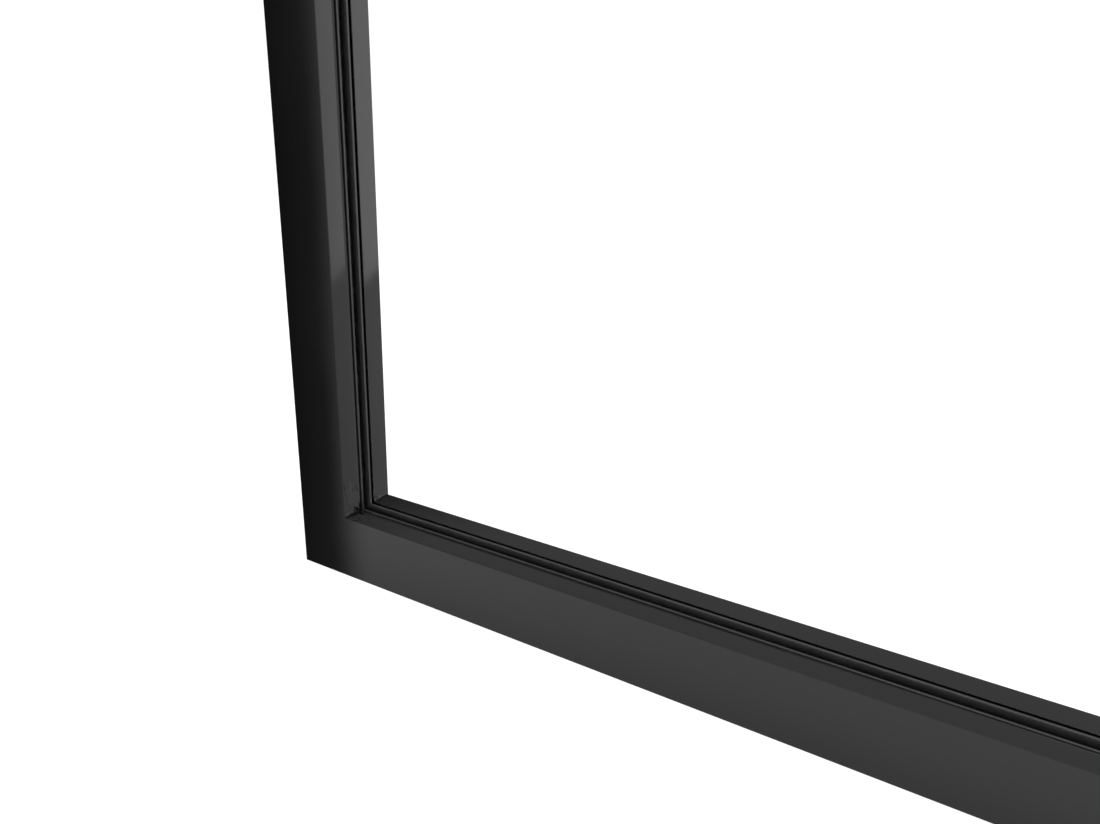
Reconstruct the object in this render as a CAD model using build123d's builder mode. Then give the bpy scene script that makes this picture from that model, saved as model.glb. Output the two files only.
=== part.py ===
from build123d import *
import os
from collections import namedtuple

# A fixed glass partition panel: four hollow mitred members around one pane, which sits on blocks between
# keyed gaskets, held from behind by snap-in beads. +Z is up and the front faces -Y. The origin is the
# middle of the face that stands on the floor.

# Panel
PANEL_WIDTH = 1000.0
PANEL_HEIGHT = 2400.0
STILE_FACE = 50.0
RAIL_FACE = 55.0
FRAME_DEPTH = 56.0

# Hollow frame members
MEMBER_WALL = 2.0
EDGE_RADIUS = 0.4
REBATE_DEPTH = 20.0
LEG_DEPTH = 21.0
ROLL_RUN = 4.5
ROLL_DROP = 1.25

# Glass
GLASS_THICKNESS = 6.0
GLASS_EDGE_GAP = 7.0
GLASS_ARRIS = 0.8

# Gaskets: a body between wall and glass, a lip along the glass, and a key in the wall
FRONT_GASKET_GAP = 5.0
REAR_GASKET_GAP = 4.8
GASKET_EDGE_GAP = 0.5
GASKET_BODY = 5.5
GASKET_RADIUS = 0.3
LIP_THICKNESS = 1.9
FRONT_LIP_DROP = 2.4
REAR_LIP_DROP = 0.0
KEY_NECK = 2.0
KEY_NECK_DEPTH = 1.2
KEY_HEAD = 4.0
KEY_HEAD_DEPTH = 1.8
KEY_CLEARANCE = 0.1

# Glazing beads and the ridges that they clip over
BEAD_WALL = 1.5
BEAD_RADIUS = 0.4
BEAD_FOOT = 2.2
CLIP_CLEARANCE = 0.2
CLIP_WALL = 1.4
BARB_REACH = 1.0
BARB_HEIGHT = 1.6

# Blocks under and beside the pane
BLOCK_LENGTH = 100.0
BLOCK_FROM_CORNER = 200.0
BLOCK_CLEARANCE = 1.0
BLOCK_CHANNEL_WIDTH = 2.5
BLOCK_CHANNEL_DEPTH = 2.0
BLOCK_CHANNEL_SPACING = 5.0

# Corner cleats
CLEAT_REACH = 90.0
CLEAT_WALL = 3.0
CLEAT_CLEARANCE = 0.3
CLEAT_RIBS = 2

# Fixing holes, in pairs about the middle of each member
FIXING_RADIUS = 3.75
RAIL_FIXING_SPACINGS = (700.0,)
STILE_FIXING_SPACINGS = (1700.0, 600.0)

# Where the glazing lies across the depth, from the front face back
GLASS_FRONT = LEG_DEPTH + FRONT_GASKET_GAP
GLASS_BACK = GLASS_FRONT + GLASS_THICKNESS
BEAD_FACE = GLASS_BACK + REAR_GASKET_GAP

# How far the pane and the gaskets reach below the sight line
GLASS_BITE = REBATE_DEPTH - GLASS_EDGE_GAP
GASKET_BOTTOM = GLASS_BITE - GASKET_EDGE_GAP
GASKET_TOP = GASKET_BOTTOM - GASKET_BODY
KEY_LEVEL = (GASKET_BOTTOM + GASKET_TOP) / 2

# Each side's section plane has x to the back, y in from the outer face and z along the member
Side = namedtuple("Side", "name section length face end_face fixing_spacings")


def side_section(x, z, run):
    """The section plane at the outer front corner where a member starts."""
    return Plane(origin=(x, -FRAME_DEPTH / 2, z), x_dir=(0, 1, 0), z_dir=run)


BOTTOM = Side("bottom", side_section(-PANEL_WIDTH / 2, 0, (1, 0, 0)),
              PANEL_WIDTH, RAIL_FACE, STILE_FACE, RAIL_FIXING_SPACINGS)
TOP = Side("top", side_section(PANEL_WIDTH / 2, PANEL_HEIGHT, (-1, 0, 0)),
           PANEL_WIDTH, RAIL_FACE, STILE_FACE, RAIL_FIXING_SPACINGS)
LEFT = Side("left", side_section(-PANEL_WIDTH / 2, PANEL_HEIGHT, (0, 0, -1)),
            PANEL_HEIGHT, STILE_FACE, RAIL_FACE, STILE_FIXING_SPACINGS)
RIGHT = Side("right", side_section(PANEL_WIDTH / 2, 0, (0, 0, 1)),
             PANEL_HEIGHT, STILE_FACE, RAIL_FACE, STILE_FIXING_SPACINGS)


def bar(u_from, u_to, v_from, v_to, mode=Mode.ADD):
    """A rectangle in a section, from one corner to the other."""
    with Locations(((u_from + u_to) / 2, (v_from + v_to) / 2)):
        Rectangle(abs(u_to - u_from), abs(v_to - v_from), mode=mode)


def key_boss(wall_face, into, level, wall):
    """The thicker part of a wall, behind its gasket groove."""
    depth = KEY_NECK_DEPTH + KEY_HEAD_DEPTH + wall
    half_height = KEY_HEAD / 2 + wall
    bar(wall_face, wall_face + into * depth, level - half_height, level + half_height)


def key_shape(wall_face, into, level, clearance, mode):
    """The T of a gasket's key, or of its groove where the clearance is none."""
    neck_end = wall_face + into * (KEY_NECK_DEPTH + clearance)
    head_end = wall_face + into * (KEY_NECK_DEPTH + KEY_HEAD_DEPTH - clearance)
    half_neck = KEY_NECK / 2 - clearance
    half_head = KEY_HEAD / 2 - clearance
    bar(wall_face, neck_end, level - half_neck, level + half_neck, mode)
    bar(neck_end, head_end, level - half_head, level + half_head, mode)


def clip_ridge(foot_end, away, floor):
    """A ridge on the rebate floor, with a barb over the bead's foot."""
    stem = foot_end + away * CLIP_CLEARANCE
    barb_under = floor + BEAD_WALL + CLIP_CLEARANCE
    barb_top = barb_under + BARB_HEIGHT
    Polygon(
        (stem, floor),
        (stem, barb_under),
        (stem - away * BARB_REACH, barb_under),
        (stem, barb_top),
        (stem + away * CLIP_WALL, barb_top),
        (stem + away * CLIP_WALL, floor),
        align=None,
    )


def mitre(side):
    """Cuts both ends on the plane through the frame's outer corner and its sight corner."""
    inward, run = side.section.y_dir, side.section.z_dir
    far_corner = side.section.from_local_coords(Vector(0, 0, side.length))
    for corner, towards_middle in ((side.section.origin, run), (far_corner, -run)):
        normal = towards_middle * side.face - inward * side.end_face
        split(bisect_by=Plane(origin=corner, x_dir=side.section.x_dir, z_dir=normal), keep=Keep.TOP)


def build_member(side):
    """A hollow stile or rail: a front leg with a rolled edge, a gasket groove, clip ridges and fixing holes."""
    floor = side.face - REBATE_DEPTH
    roll_start = (LEG_DEPTH - ROLL_RUN, side.face)
    roll_end = (LEG_DEPTH, side.face - ROLL_DROP)
    with BuildPart() as member:
        with BuildSketch(side.section) as outline:
            with BuildLine():
                Polyline(
                    roll_start,
                    (0, side.face),
                    (0, 0),
                    (FRAME_DEPTH, 0),
                    (FRAME_DEPTH, floor),
                    (LEG_DEPTH, floor),
                    roll_end,
                )
                TangentArc(roll_start, roll_end, tangent=(1, 0))
            make_face()
            offset(amount=-MEMBER_WALL, kind=Kind.INTERSECTION, mode=Mode.SUBTRACT)
            bar(0, LEG_DEPTH, floor - MEMBER_WALL, floor)
            key_boss(LEG_DEPTH, -1, side.face - KEY_LEVEL, MEMBER_WALL)
            key_shape(LEG_DEPTH, -1, side.face - KEY_LEVEL, 0, Mode.SUBTRACT)
            front_corners = outline.vertices().group_by(Axis.X)[0].sort_by(Axis.Y)
            back_corner = outline.vertices().group_by(Axis.X)[-1].sort_by(Axis.Y)[0]
            fillet([front_corners[0], front_corners[-1], back_corner], EDGE_RADIUS)
            clip_ridge(BEAD_FACE + BEAD_WALL + BEAD_FOOT, 1, floor)
            clip_ridge(FRAME_DEPTH - BEAD_WALL - BEAD_FOOT, -1, floor)
        extrude(amount=side.length)
        mitre(side)
        outer_face = Plane(
            origin=side.section.origin, x_dir=side.section.z_dir, z_dir=side.section.y_dir
        )
        with BuildSketch(outer_face):
            for spacing in side.fixing_spacings:
                with Locations((side.length / 2, FRAME_DEPTH / 2)):
                    with GridLocations(spacing, 0, 2, 1):
                        Circle(FIXING_RADIUS)
        extrude(amount=floor, mode=Mode.SUBTRACT)
    return member


def build_bead(side):
    """A hollow bead behind the pane, open underneath between the feet that hook under the ridges."""
    floor = side.face - REBATE_DEPTH
    with BuildPart() as bead:
        with BuildSketch(side.section) as outline:
            bar(BEAD_FACE, FRAME_DEPTH, floor, side.face)
            offset(amount=-BEAD_WALL, kind=Kind.INTERSECTION, mode=Mode.SUBTRACT)
            key_boss(BEAD_FACE, 1, side.face - KEY_LEVEL, BEAD_WALL)
            key_shape(BEAD_FACE, 1, side.face - KEY_LEVEL, 0, Mode.SUBTRACT)
            mouth_start = BEAD_FACE + BEAD_WALL + BEAD_FOOT
            mouth_end = FRAME_DEPTH - BEAD_WALL - BEAD_FOOT
            bar(mouth_start, mouth_end, floor, floor + BEAD_WALL, Mode.SUBTRACT)
            sight_corners = outline.vertices().group_by(Axis.Y)[-1]
            fillet(sight_corners, BEAD_RADIUS)
        extrude(amount=side.length)
        mitre(side)
    return bead


def build_gasket(side, wall_face, glass_face, lip_drop):
    """A keyed gasket that seats on a wall and presses on the pane with its body and its lip."""
    to_glass = 1 if glass_face > wall_face else -1
    lip_face = glass_face - to_glass * LIP_THICKNESS
    with BuildPart() as gasket:
        with BuildSketch(side.section) as outline:
            Polygon(
                (wall_face, side.face - GASKET_BOTTOM),
                (glass_face, side.face - GASKET_BOTTOM),
                (glass_face, side.face - lip_drop),
                (lip_face, side.face - lip_drop),
                (lip_face, side.face - GASKET_TOP),
                (wall_face, side.face - GASKET_TOP),
                align=None,
            )
            key_shape(wall_face, -to_glass, side.face - KEY_LEVEL, KEY_CLEARANCE, Mode.ADD)
            fillet(outline.vertices().group_by(Axis.Y)[-1], GASKET_RADIUS)
        extrude(amount=side.length)
        mitre(side)
    return gasket


def build_blocks(side):
    """Two glazing blocks between the rebate floor and the pane's edge, with drain channels beneath."""
    floor = side.face - REBATE_DEPTH
    glass_middle = (GLASS_FRONT + GLASS_BACK) / 2
    first = side.end_face + BLOCK_FROM_CORNER - BLOCK_LENGTH / 2
    last = side.length - first - BLOCK_LENGTH
    with BuildPart() as blocks:
        for start in (first, last):
            with BuildSketch(side.section.offset(start)):
                bar(LEG_DEPTH + BLOCK_CLEARANCE, BEAD_FACE - BLOCK_CLEARANCE, floor, floor + GLASS_EDGE_GAP)
                with Locations((glass_middle, floor + BLOCK_CHANNEL_DEPTH / 2)):
                    with GridLocations(BLOCK_CHANNEL_SPACING, 0, 2, 1):
                        Rectangle(BLOCK_CHANNEL_WIDTH, BLOCK_CHANNEL_DEPTH, mode=Mode.SUBTRACT)
            extrude(amount=BLOCK_LENGTH)
    return blocks


def build_pane():
    """The glass, with its edges arrised all round."""
    with BuildPart() as pane:
        middle_height = PANEL_HEIGHT / 2
        front = Plane(origin=(0, GLASS_FRONT - FRAME_DEPTH / 2, middle_height), x_dir=(1, 0, 0), z_dir=(0, -1, 0))
        with BuildSketch(front):
            Rectangle(
                PANEL_WIDTH - 2 * (STILE_FACE - GLASS_BITE),
                PANEL_HEIGHT - 2 * (RAIL_FACE - GLASS_BITE),
            )
        extrude(amount=-GLASS_THICKNESS)
        faces = pane.faces().filter_by(Axis.Y)
        chamfer(faces.edges(), GLASS_ARRIS)
    return pane


def build_cleat(to_right, to_top):
    """A hollow angle in both chambers of one corner, ribbed across its arms."""
    corner = Plane(
        origin=(-to_right * PANEL_WIDTH / 2, 0, (1 - to_top) * PANEL_HEIGHT / 2),
        x_dir=(to_right, 0, 0),
        z_dir=(0, -to_right * to_top, 0),
    )
    start = MEMBER_WALL + CLEAT_CLEARANCE
    stile_end = STILE_FACE - REBATE_DEPTH - start
    rail_end = RAIL_FACE - REBATE_DEPTH - start
    mitre_step = (REBATE_DEPTH + MEMBER_WALL) * abs(RAIL_FACE - STILE_FACE) / min(RAIL_FACE, STILE_FACE)
    with BuildPart() as cleat:
        with BuildSketch(corner):
            Polygon(
                (start, start),
                (CLEAT_REACH, start),
                (CLEAT_REACH, rail_end),
                (stile_end, rail_end),
                (stile_end, CLEAT_REACH),
                (start, CLEAT_REACH),
                align=None,
            )
            offset(amount=-CLEAT_WALL, kind=Kind.INTERSECTION, mode=Mode.SUBTRACT)
            Polygon(
                (start, start + CLEAT_WALL),
                (start + CLEAT_WALL, start),
                (stile_end, rail_end - CLEAT_WALL),
                (stile_end - CLEAT_WALL, rail_end),
                align=None,
            )
            for rib in range(1, CLEAT_RIBS + 1):
                along_rail = stile_end + rib * (CLEAT_REACH - stile_end) / (CLEAT_RIBS + 1)
                along_stile = rail_end + rib * (CLEAT_REACH - rail_end) / (CLEAT_RIBS + 1)
                bar(along_rail - CLEAT_WALL / 2, along_rail + CLEAT_WALL / 2, start, rail_end)
                bar(start, stile_end, along_stile - CLEAT_WALL / 2, along_stile + CLEAT_WALL / 2)
            with Locations((stile_end, rail_end)):
                Circle(mitre_step + CLEAT_CLEARANCE, mode=Mode.SUBTRACT)
        extrude(amount=FRAME_DEPTH / 2 - start, both=True)
    return cleat


def write(piece, name):
    """Labels one finished piece and writes it."""
    piece.part.label = name
    export_step(piece.part, f"parts/{name}.step")


os.makedirs("parts", exist_ok=True)

for member_name, side in (
    ("rail_bottom", BOTTOM),
    ("rail_top", TOP),
    ("stile_left", LEFT),
    ("stile_right", RIGHT),
):
    write(build_member(side), member_name)

for side in (BOTTOM, TOP, LEFT, RIGHT):
    write(build_bead(side), f"bead_{side.name}")
    write(build_gasket(side, LEG_DEPTH, GLASS_FRONT, FRONT_LIP_DROP), f"front_gasket_{side.name}")
    write(build_gasket(side, BEAD_FACE, GLASS_BACK, REAR_LIP_DROP), f"rear_gasket_{side.name}")

write(build_blocks(BOTTOM), "setting_blocks_bottom")
for side in (TOP, LEFT, RIGHT):
    write(build_blocks(side), f"location_blocks_{side.name}")

write(build_pane(), "glass_pane")

for to_right, across_name in ((1, "left"), (-1, "right")):
    for to_top, height_name in ((1, "bottom"), (-1, "top")):
        write(build_cleat(to_right, to_top), f"corner_cleat_{height_name}_{across_name}")
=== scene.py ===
import math

import bpy
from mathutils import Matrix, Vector


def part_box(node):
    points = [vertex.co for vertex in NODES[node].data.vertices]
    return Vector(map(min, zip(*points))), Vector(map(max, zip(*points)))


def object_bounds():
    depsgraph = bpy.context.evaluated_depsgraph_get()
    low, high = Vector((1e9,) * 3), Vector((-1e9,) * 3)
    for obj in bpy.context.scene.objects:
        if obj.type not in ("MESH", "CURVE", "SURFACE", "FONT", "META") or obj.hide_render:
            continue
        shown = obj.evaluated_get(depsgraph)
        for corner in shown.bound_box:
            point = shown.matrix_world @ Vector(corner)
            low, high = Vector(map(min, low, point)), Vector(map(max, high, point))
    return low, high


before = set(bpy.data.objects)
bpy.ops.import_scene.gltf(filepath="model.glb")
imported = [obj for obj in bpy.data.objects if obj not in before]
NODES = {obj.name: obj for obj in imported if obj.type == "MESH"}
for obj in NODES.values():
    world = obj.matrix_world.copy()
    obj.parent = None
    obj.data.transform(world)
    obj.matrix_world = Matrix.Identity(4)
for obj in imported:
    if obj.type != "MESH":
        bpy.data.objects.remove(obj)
CAD_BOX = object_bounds()
SCENE = bpy.context.scene
SCENE.view_settings.view_transform = "Standard"
# Enough faces to see past a hollow member, its gaskets and its bead in a mirror image
SCENE.cycles.transparent_max_bounces = 32

# The pieces by how their names begin
MEMBERS = ("rail_", "stile_", "bead_")
GASKETS = ("front_gasket_", "rear_gasket_")
BLOCKS = ("setting_blocks_", "location_blocks_")
CLEATS = ("corner_cleat_",)

# The photograph's view, worked out from the frame's edges. Places are in metres, and PX means pixels
CORNER = Vector((-0.5, -0.028, 0.0))
CAMERA_FROM_CORNER = Vector((0.5184, -0.4886, 0.3948))
AZIMUTH, ELEVATION = math.radians(33.91), math.radians(20.10)
FOCAL_PX, CENTRE_X_PX, CENTRE_Y_PX = 887.9, 484.2, 410.8
IMAGE_W, IMAGE_H = 1100, 824
SENSOR_MM = 36.0
CLIP_START, CLIP_END = 0.01, 100.0

# The refraction of the coat, the rubber and the plastic
IOR = 1.5
# How deep the pane's edge sits behind the edge of the opening
GLASS_BITE = 0.013
# Painted shade and light on the rubber: how deep behind the edge of the opening it begins to grey,
# where it is greyest, and how the grey grows
PAINTED_LIGHT_FROM, PAINTED_LIGHT_FULL, PAINTED_LIGHT_POWER = 0.0075, 0.0008, 1.6
# How far off a mirror image of the coat or the rubber begins to fade, and where it is gone
COAT_MIRROR = (0.0005, 0.004)
RUBBER_MIRROR = (0.014, 0.022)
# The frame's outer skin: the faces this near to its box or to the edge of its opening. It takes in the roll
# of the front edge, and stops short of the inner face of the thinnest wall
SKIN = 0.0014
# The slant, from 0 face on to 1 at grazing, from which the pane begins to mirror, and how the mirror grows
GLASS_MIRROR_FROM, GLASS_MIRROR_POWER = 0.42, 2.5

# The studio that light and reflections see. Angles are in degrees: a turn goes from the front round to the
# right, a turn behind from the back round to the left, and lift goes up. A level of 1 is white.
# The dark wall to the left of the front: the turns over which its level rises, and over which it ends
WALL_TURN, WALL_LEVEL = (-47.5, -45.0), (0.035, 0.10)
WALL_END = (-44.9, -42.1)
# The front dims low down, by how steeply a direction points down
FRONT_STEEPNESS, FRONT_LEVEL = (-0.84, -0.69), (0.75, 1.12)
# The back, below and above the band of lift in which the one gives way to the other: stops of turn and level
BACK_LOW = (
    (-90, 0.90), (-46, 0.68), (-39, 0.98), (-30, 0.66), (-12, 0.43), (0, 0.26), (13, 0.10), (50, 0.05)
)
BACK_HIGH = ((-90, 0.6), (0, 0.48), (17, 0.46), (32, 0.38), (40, 0.33), (44, 0.26), (60, 0.04))
BACK_BAND = (24.3, 28.6)
# The back dims a little far below
BACK_DIM_LIFT, BACK_DIM = (-27.0, -14.0), (0.84, 1.0)
# The part of a direction that points back, over which the front gives way to the back
SEAM = (-0.02, 0.02)
# The lit panel to the back right: the turns where it starts and ends, its top edge, and its level by turn
PANEL_START, PANEL_END, PANEL_TOP = (124.0, 131.0), (139.4, 141.5), (12.0, 18.0)
PANEL_TURN, PANEL_LEVEL = (135.0, 139.0), (1.38, 1.95)
# Its bottom edge is a run of slants: where one starts, how many a degree holds, and how high each rises
PANEL_BOTTOM = (-12.3, -11.8)
SLANT_START, SLANTS_PER_DEGREE, SLANT_RISE = 135.9, 0.4545, 2.3
# The studio's level to the eye, just enough above white to come out as plain white
LEVEL_TO_THE_EYE = 1.1

# The floor: half its width, how far it lies under the object, its colour, and its glow for the eye alone
FLOOR_HALF, FLOOR_DROP, FLOOR_WHITE = 12.0, 0.0005, 0.75
FLOOR_GLOW, FLOOR_GLOW_SHARE = 1.95, 0.4

# Where a noise mostly lies, and a higher span for a noise that shows in patches
NOISE_SPAN, PATCHY_SPAN = (0.3, 0.7), (0.35, 0.75)
# The sockets of a colour Mix node: its factor, its two colours, and its result
MIX_FACTOR, MIX_FIRST, MIX_SECOND, MIX_RESULT = 0, 6, 7, 2


def add_camera():
    """The camera where the photograph's was, with the small shift of its framing."""
    data = bpy.data.cameras.new("view")
    data.sensor_width = SENSOR_MM
    data.lens = SENSOR_MM * FOCAL_PX / IMAGE_W
    data.shift_x = (IMAGE_W / 2 - CENTRE_X_PX) / IMAGE_W
    data.shift_y = (CENTRE_Y_PX - IMAGE_H / 2) / IMAGE_W
    data.clip_start = CLIP_START
    data.clip_end = CLIP_END
    cam = bpy.data.objects.new("view", data)
    SCENE.collection.objects.link(cam)
    back = Vector((
        math.sin(AZIMUTH) * math.cos(ELEVATION),
        -math.cos(AZIMUTH) * math.cos(ELEVATION),
        math.sin(ELEVATION),
    ))
    cam.location = CORNER + CAMERA_FROM_CORNER
    cam.rotation_mode = "QUATERNION"
    cam.rotation_quaternion = (-back).to_track_quat("-Z", "Y")
    SCENE.camera = cam


class Nodes:
    """A short way to write a node tree."""

    def __init__(self, tree):
        self.tree = tree
        tree.nodes.clear()

    def add(self, kind, inputs=None, **settings):
        """A node with its settings. An input is linked if its value is a socket, and otherwise set."""
        node = self.tree.nodes.new(kind)
        for name, value in settings.items():
            setattr(node, name, value)
        for key, value in (inputs or {}).items():
            if isinstance(value, bpy.types.NodeSocket):
                self.tree.links.new(value, node.inputs[key])
            else:
                node.inputs[key].default_value = value
        return node

    def place(self):
        """The point's place in metres, which is also its place in the CAD."""
        return self.add("ShaderNodeTexCoord").outputs["Object"]

    def split(self, vector):
        """Its x, y and z."""
        return self.add("ShaderNodeSeparateXYZ", {0: vector}).outputs

    def math(self, operation, a, b=0.0):
        return self.add("ShaderNodeMath", {0: a, 1: b}, operation=operation).outputs[0]

    def ramp(self, value, low, high, to_low=0.0, to_high=1.0, kind="SMOOTHSTEP"):
        """The value taken from low..high to to_low..to_high, and held there beyond either end."""
        ends = {"From Min": low, "From Max": high, "To Min": to_low, "To Max": to_high}
        return self.add("ShaderNodeMapRange", {"Value": value, **ends}, interpolation_type=kind).outputs[0]

    def degrees(self, angle):
        return self.math("MULTIPLY", angle, 180.0 / math.pi)

    def blend(self, share, without, given):
        """From without, at a share of 0, to given, at 1."""
        return self.math("ADD", without, self.math("MULTIPLY", share, self.math("SUBTRACT", given, without)))

    def profile(self, value, stops):
        """Straight runs between (value, level) stops."""
        start, end = stops[0][0], stops[-1][0]
        peak = max(level for _, level in stops)
        along = self.math("DIVIDE", self.math("SUBTRACT", value, start), end - start)
        node = self.add("ShaderNodeValToRGB", {0: along})
        marks = node.color_ramp.elements
        while len(marks) < len(stops):
            marks.new(0.5)
        for mark, (at, level) in zip(marks, stops):
            mark.position = (at - start) / (end - start)
            mark.color = (level / peak, level / peak, level / peak, 1)
        return self.math("MULTIPLY", node.outputs[0], peak)

    def noise(self, coords, scale, detail=2.0, roughness=0.5):
        inputs = {"Vector": coords, "Scale": scale, "Detail": detail, "Roughness": roughness}
        return self.add("ShaderNodeTexNoise", inputs).outputs[0]

    def spread(self, noise, least=0.0, most=1.0, span=NOISE_SPAN):
        """From least to most as the noise goes over its span."""
        return self.ramp(noise, *span, least, most)

    def mix_colour(self, factor, first, second):
        node = self.add("ShaderNodeMix", data_type="RGBA")
        self.tree.links.new(factor, node.inputs[MIX_FACTOR])
        node.inputs[MIX_FIRST].default_value = first
        node.inputs[MIX_SECOND].default_value = second
        return node.outputs[MIX_RESULT]

    def mix_shader(self, share, first, second):
        return self.add("ShaderNodeMixShader", {0: share, 1: first, 2: second}).outputs[0]

    def principled(self, colour, rough, height, strength, distance, **more):
        """A Principled shader whose bump has the given height map, strength and distance in metres."""
        bump = self.add("ShaderNodeBump", {"Strength": strength, "Distance": distance, "Height": height})
        inputs = {"Base Color": colour, "Roughness": rough, "Normal": bump.outputs[0], **more}
        return self.add("ShaderNodeBsdfPrincipled", inputs).outputs[0]

    def seen_by_eye(self):
        """1 for what the camera sees, straight or bent by a material, and 0 for light and reflections."""
        path = self.add("ShaderNodeLightPath")
        return self.math("MAXIMUM", path.outputs["Is Camera Ray"], path.outputs["Is Transmission Ray"])

    def surface(self, shader):
        self.add("ShaderNodeOutputMaterial", {"Surface": shader})


def material(name):
    made = bpy.data.materials.new(name)
    made.use_nodes = True
    return made, Nodes(made.node_tree)


def fading_in_mirrors(n, shader, near, gone, share=1.0):
    """The shader, except that a mirror image shows it only near by. From near to gone it gives way, by the
    share, to what is behind it."""
    path = n.add("ShaderNodeLightPath")
    far = n.math("MULTIPLY", share, n.ramp(path.outputs["Ray Length"], near, gone))
    through = n.add("ShaderNodeBsdfTransparent").outputs[0]
    mirrored = n.mix_shader(far, shader, through)
    return n.mix_shader(path.outputs["Is Glossy Ray"], shader, mirrored)


def below_sight_line(n):
    """How far a point lies behind the edge of the frame's opening, in metres."""
    low, high = (Vector(c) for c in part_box("glass_pane"))
    middle, half = (low + high) / 2, (high - low) / 2 - Vector((GLASS_BITE, 0, GLASS_BITE))
    x, _, z = n.split(n.place())
    across = n.math("SUBTRACT", n.math("ABSOLUTE", n.math("SUBTRACT", x, middle.x)), half.x)
    upright = n.math("SUBTRACT", n.math("ABSOLUTE", n.math("SUBTRACT", z, middle.z)), half.z)
    return n.math("MAXIMUM", across, upright)


def reached_from_outside(n):
    """1 on the frame's outer skin, and for a ray that has come through it. 0 for a ray that starts inside,
    so that a hollow shows its own walls and its holes stay dark."""
    low, high = (Vector(c) for c in CAD_BOX)
    middle, half = (low + high) / 2, (high - low) / 2
    depth = n.math("ABSOLUTE", below_sight_line(n))
    for value, centre, reach in zip(n.split(n.place()), middle, half):
        offset = n.math("ABSOLUTE", n.math("SUBTRACT", value, centre))
        depth = n.math("MINIMUM", depth, n.math("SUBTRACT", reach, offset))
    skin = n.math("LESS_THAN", depth, SKIN)
    passed = n.math("GREATER_THAN", n.add("ShaderNodeLightPath").outputs["Transparent Depth"], 0.5)
    return n.math("MAXIMUM", skin, passed)


def powder_coat():
    """Black powder coat: deep, glossy, with a fine orange peel and a faint unevenness of gloss."""
    mat, n = material("powder_coat")
    at = n.place()
    cloud = n.noise(at, scale=9.0, detail=3.0)
    grain = n.noise(at, scale=2600.0, roughness=0.6)
    peel = n.noise(at, scale=700.0, roughness=0.45)
    deep, pale = (0.0026, 0.0027, 0.0028, 1), (0.0034, 0.0034, 0.0036, 1)
    colour = n.mix_colour(n.spread(cloud), deep, pale)
    fine = n.spread(grain, least=-0.008, most=0.008)
    rough = n.math("ADD", n.spread(cloud, least=0.040, most=0.060), fine)
    height = n.math("ADD", peel, n.math("MULTIPLY", grain, 0.25))
    shader = n.principled(colour, rough, height, strength=0.04, distance=0.00006, IOR=IOR)
    n.surface(fading_in_mirrors(n, shader, *COAT_MIRROR, reached_from_outside(n)))
    return mat


def gasket_rubber():
    """Black extruded rubber: matt, with a patchy bloom. Its colour holds painted shade, deep black in the
    rebate, and painted light, grey along the open lip.
    """
    mat, n = material("gasket_rubber")
    at = n.place()
    bloom = n.noise(at, scale=60.0, detail=4.0, roughness=0.6)
    grain = n.noise(at, scale=4000.0, roughness=0.6)
    # Painted shade and light: the rubber is darkest deep behind the edge of the opening and greyest near it
    near_opening = n.ramp(below_sight_line(n), PAINTED_LIGHT_FROM, PAINTED_LIGHT_FULL, kind="LINEAR")
    painted_light = n.math("POWER", near_opening, PAINTED_LIGHT_POWER)
    share = n.math("MULTIPLY", painted_light, n.spread(bloom, least=0.94, most=1.06, span=PATCHY_SPAN))
    deep, grey = (0.0025, 0.0025, 0.0026, 1), (0.0480, 0.0480, 0.0485, 1)
    colour = n.mix_colour(share, deep, grey)
    rough = n.math("ADD", n.spread(bloom, least=0.22, most=0.26), n.spread(grain, least=-0.02, most=0.02))
    shader = n.principled(colour, rough, grain, strength=0.2, distance=0.00004, IOR=IOR)
    n.surface(fading_in_mirrors(n, shader, *RUBBER_MIRROR))
    return mat


def clear_glass():
    """Clear float glass: what is behind shows unbent, with a mirror that grows past GLASS_MIRROR_FROM."""
    mat, n = material("clear_glass")
    film = n.noise(n.place(), scale=14.0, detail=5.0, roughness=0.6)
    rough = n.spread(film, least=0.0, most=0.03, span=PATCHY_SPAN)
    through = n.add("ShaderNodeBsdfTransparent", {"Color": (0.995, 0.998, 0.9965, 1)}).outputs[0]
    mirror = n.add("ShaderNodeBsdfGlossy", {"Color": (1, 1, 1, 1), "Roughness": rough}).outputs[0]
    facing = n.add("ShaderNodeLayerWeight", {"Blend": 0.5}).outputs["Facing"]
    slant = n.ramp(facing, GLASS_MIRROR_FROM, 1.0, kind="LINEAR")
    n.surface(n.mix_shader(n.math("POWER", slant, GLASS_MIRROR_POWER), through, mirror))
    return mat


def block_plastic():
    """Dark moulded plastic with a fine spark-eroded grain."""
    mat, n = material("block_plastic")
    at = n.place()
    grain = n.noise(at, scale=3000.0, roughness=0.6)
    cloud = n.noise(at, scale=50.0, detail=3.0)
    dark, light = (0.030, 0.030, 0.033, 1), (0.040, 0.040, 0.044, 1)
    colour = n.mix_colour(n.spread(cloud), dark, light)
    rough = n.spread(grain, least=0.42, most=0.58)
    n.surface(n.principled(colour, rough, grain, strength=0.25, distance=0.00005, IOR=IOR))
    return mat


def mill_aluminium():
    """Mill finish aluminium with fine drawn lines and a dull bloom."""
    mat, n = material("mill_aluminium")
    at = n.place()
    stretched = n.add("ShaderNodeMapping", {"Vector": at, "Scale": (1.0, 0.02, 1.0)}).outputs[0]
    lines = n.noise(stretched, scale=1800.0, detail=3.0, roughness=0.6)
    bloom = n.noise(at, scale=40.0, detail=4.0, roughness=0.6)
    dull, bright = (0.55, 0.56, 0.58, 1), (0.66, 0.67, 0.69, 1)
    colour = n.mix_colour(n.spread(bloom), dull, bright)
    rough = n.spread(lines, least=0.28, most=0.42)
    n.surface(n.principled(colour, rough, lines, strength=0.2, distance=0.00005, Metallic=1.0))
    return mat


def dress(prefixes, mat):
    """Gives the material to each piece whose name begins so."""
    for name, node in NODES.items():
        if name.startswith(prefixes):
            node.data.materials.clear()
            node.data.materials.append(mat)


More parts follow.
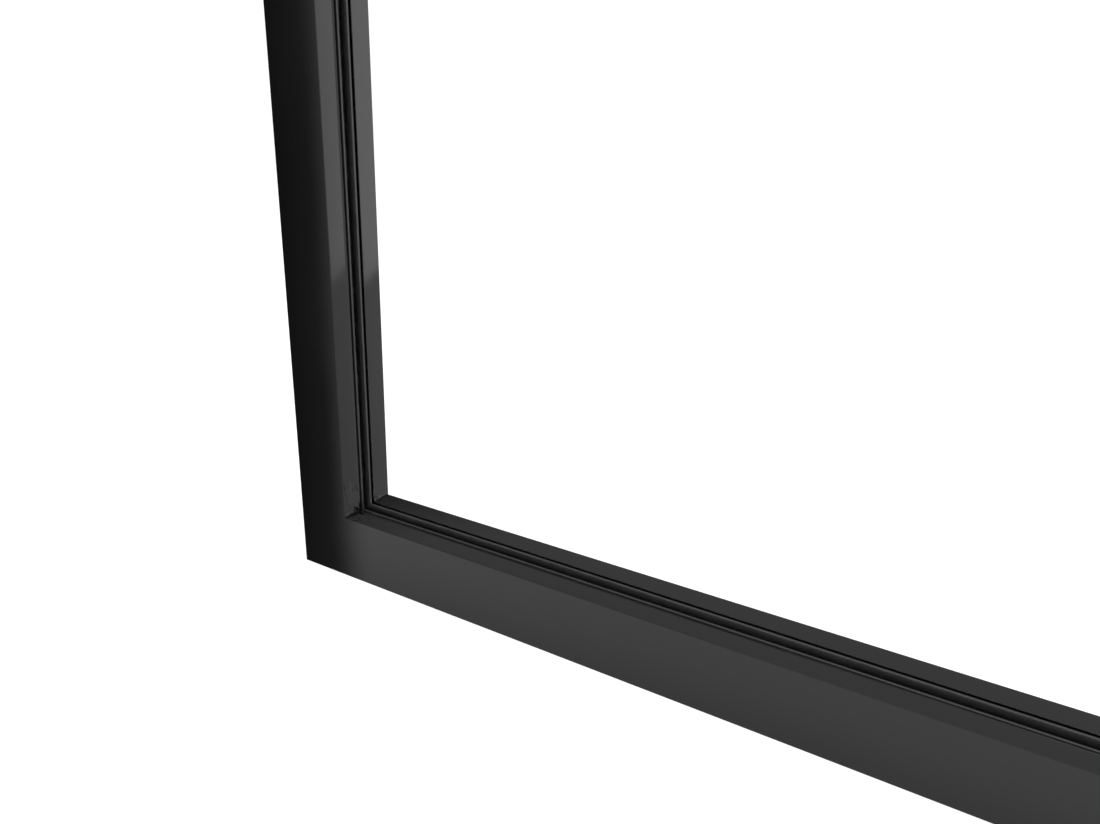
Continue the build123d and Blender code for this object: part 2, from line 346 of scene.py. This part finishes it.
def front_level(n, turn, steepness):
    """A pale front, dimmer low down, with a dark wall to the left of it."""
    wall = n.ramp(turn, *WALL_TURN, *WALL_LEVEL)
    pale = n.ramp(steepness, *FRONT_STEEPNESS, *FRONT_LEVEL)
    return n.blend(n.ramp(turn, *WALL_END), wall, pale)


def back_level(n, turn_behind, lift):
    """A back that goes from pale on the right to dark on the left, and less so overhead."""
    low = n.profile(turn_behind, BACK_LOW)
    high = n.profile(turn_behind, BACK_HIGH)
    level = n.blend(n.ramp(lift, *BACK_BAND), low, high)
    return n.math("MULTIPLY", level, n.ramp(lift, *BACK_DIM_LIFT, *BACK_DIM))


def panel_share(n, turn, lift):
    """1 inside the lit panel, with soft edges."""
    slants = n.math("MULTIPLY", n.math("SUBTRACT", turn, SLANT_START), SLANTS_PER_DEGREE)
    rise = n.math("MULTIPLY", n.math("FRACT", slants), SLANT_RISE)
    above = n.ramp(n.math("SUBTRACT", lift, rise), *PANEL_BOTTOM)
    below = n.ramp(lift, *PANEL_TOP, 1.0, 0.0)
    across = n.math("MULTIPLY", n.ramp(turn, *PANEL_START), n.ramp(turn, *PANEL_END, 1.0, 0.0))
    return n.math("MULTIPLY", across, n.math("MULTIPLY", above, below))


def add_world():
    """A studio that is white to the eye. To light and reflections it is pale in front, dark to the left and
    dim behind, with a lit panel to the back right."""
    world = bpy.data.worlds.new("studio")
    SCENE.world = world
    world.use_nodes = True
    n = Nodes(world.node_tree)
    x, y, z = n.split(n.add("ShaderNodeTexCoord").outputs["Generated"])
    towards_front = n.math("MULTIPLY", y, -1.0)
    turn = n.degrees(n.math("ARCTAN2", x, towards_front))
    turn_behind = n.degrees(n.math("ARCTAN2", n.math("MULTIPLY", x, -1.0), y))
    lift = n.degrees(n.math("ARCSINE", z))

    front = front_level(n, turn, n.math("DIVIDE", z, towards_front))
    back = back_level(n, turn_behind, lift)
    level = n.blend(n.ramp(y, *SEAM), front, back)
    level = n.blend(panel_share(n, turn, lift), level, n.ramp(turn, *PANEL_TURN, *PANEL_LEVEL))

    strength = n.blend(n.seen_by_eye(), level, LEVEL_TO_THE_EYE)
    background = n.add("ShaderNodeBackground", {"Color": (1, 1, 1, 1), "Strength": strength})
    n.add("ShaderNodeOutputWorld", {"Surface": background.outputs[0]})


def add_floor():
    """A plain pale floor that takes a soft shadow and is white to the eye elsewhere."""
    mesh = bpy.data.meshes.new("floor")
    corners = [(x * FLOOR_HALF, y * FLOOR_HALF, 0) for x, y in ((-1, -1), (1, -1), (1, 1), (-1, 1))]
    mesh.from_pydata(corners, [], [(0, 1, 2, 3)])
    floor = bpy.data.objects.new("floor", mesh)
    floor.location.z = -FLOOR_DROP
    SCENE.collection.objects.link(floor)
    floor.visible_glossy = False
    mat, n = material("floor")
    matt = n.add("ShaderNodeBsdfDiffuse", {"Color": (FLOOR_WHITE, FLOOR_WHITE, FLOOR_WHITE, 1)}).outputs[0]
    strength = n.math("MULTIPLY", n.seen_by_eye(), FLOOR_GLOW)
    glow = n.add("ShaderNodeEmission", {"Color": (1, 1, 1, 1), "Strength": strength}).outputs[0]
    n.surface(n.mix_shader(FLOOR_GLOW_SHARE, matt, glow))
    mesh.materials.append(mat)


def add_lamp(name, place, target, size, watts):
    """A round soft lamp that lights the object and isn't seen itself."""
    data = bpy.data.lights.new(name, "AREA")
    data.shape = "DISK"
    data.size = size
    data.energy = watts
    lamp = bpy.data.objects.new(name, data)
    lamp.location = place
    lamp.rotation_mode = "QUATERNION"
    lamp.rotation_quaternion = (Vector(target) - Vector(place)).to_track_quat("-Z", "Y")
    lamp.visible_camera = False
    lamp.visible_glossy = False
    SCENE.collection.objects.link(lamp)


add_camera()
dress(MEMBERS, powder_coat())
dress(GASKETS, gasket_rubber())
dress("glass_pane", clear_glass())
dress(BLOCKS, block_plastic())
dress(CLEATS, mill_aluminium())
# A mirror image shows through the frame to what it holds, so these are left out of it
for name, node in NODES.items():
    if name.startswith(BLOCKS + CLEATS):
        node.visible_glossy = False
add_world()
add_floor()
add_lamp("key", place=(0.2, -1.4, 4.4), target=(0, 0, 0.6), size=2.4, watts=130.0)
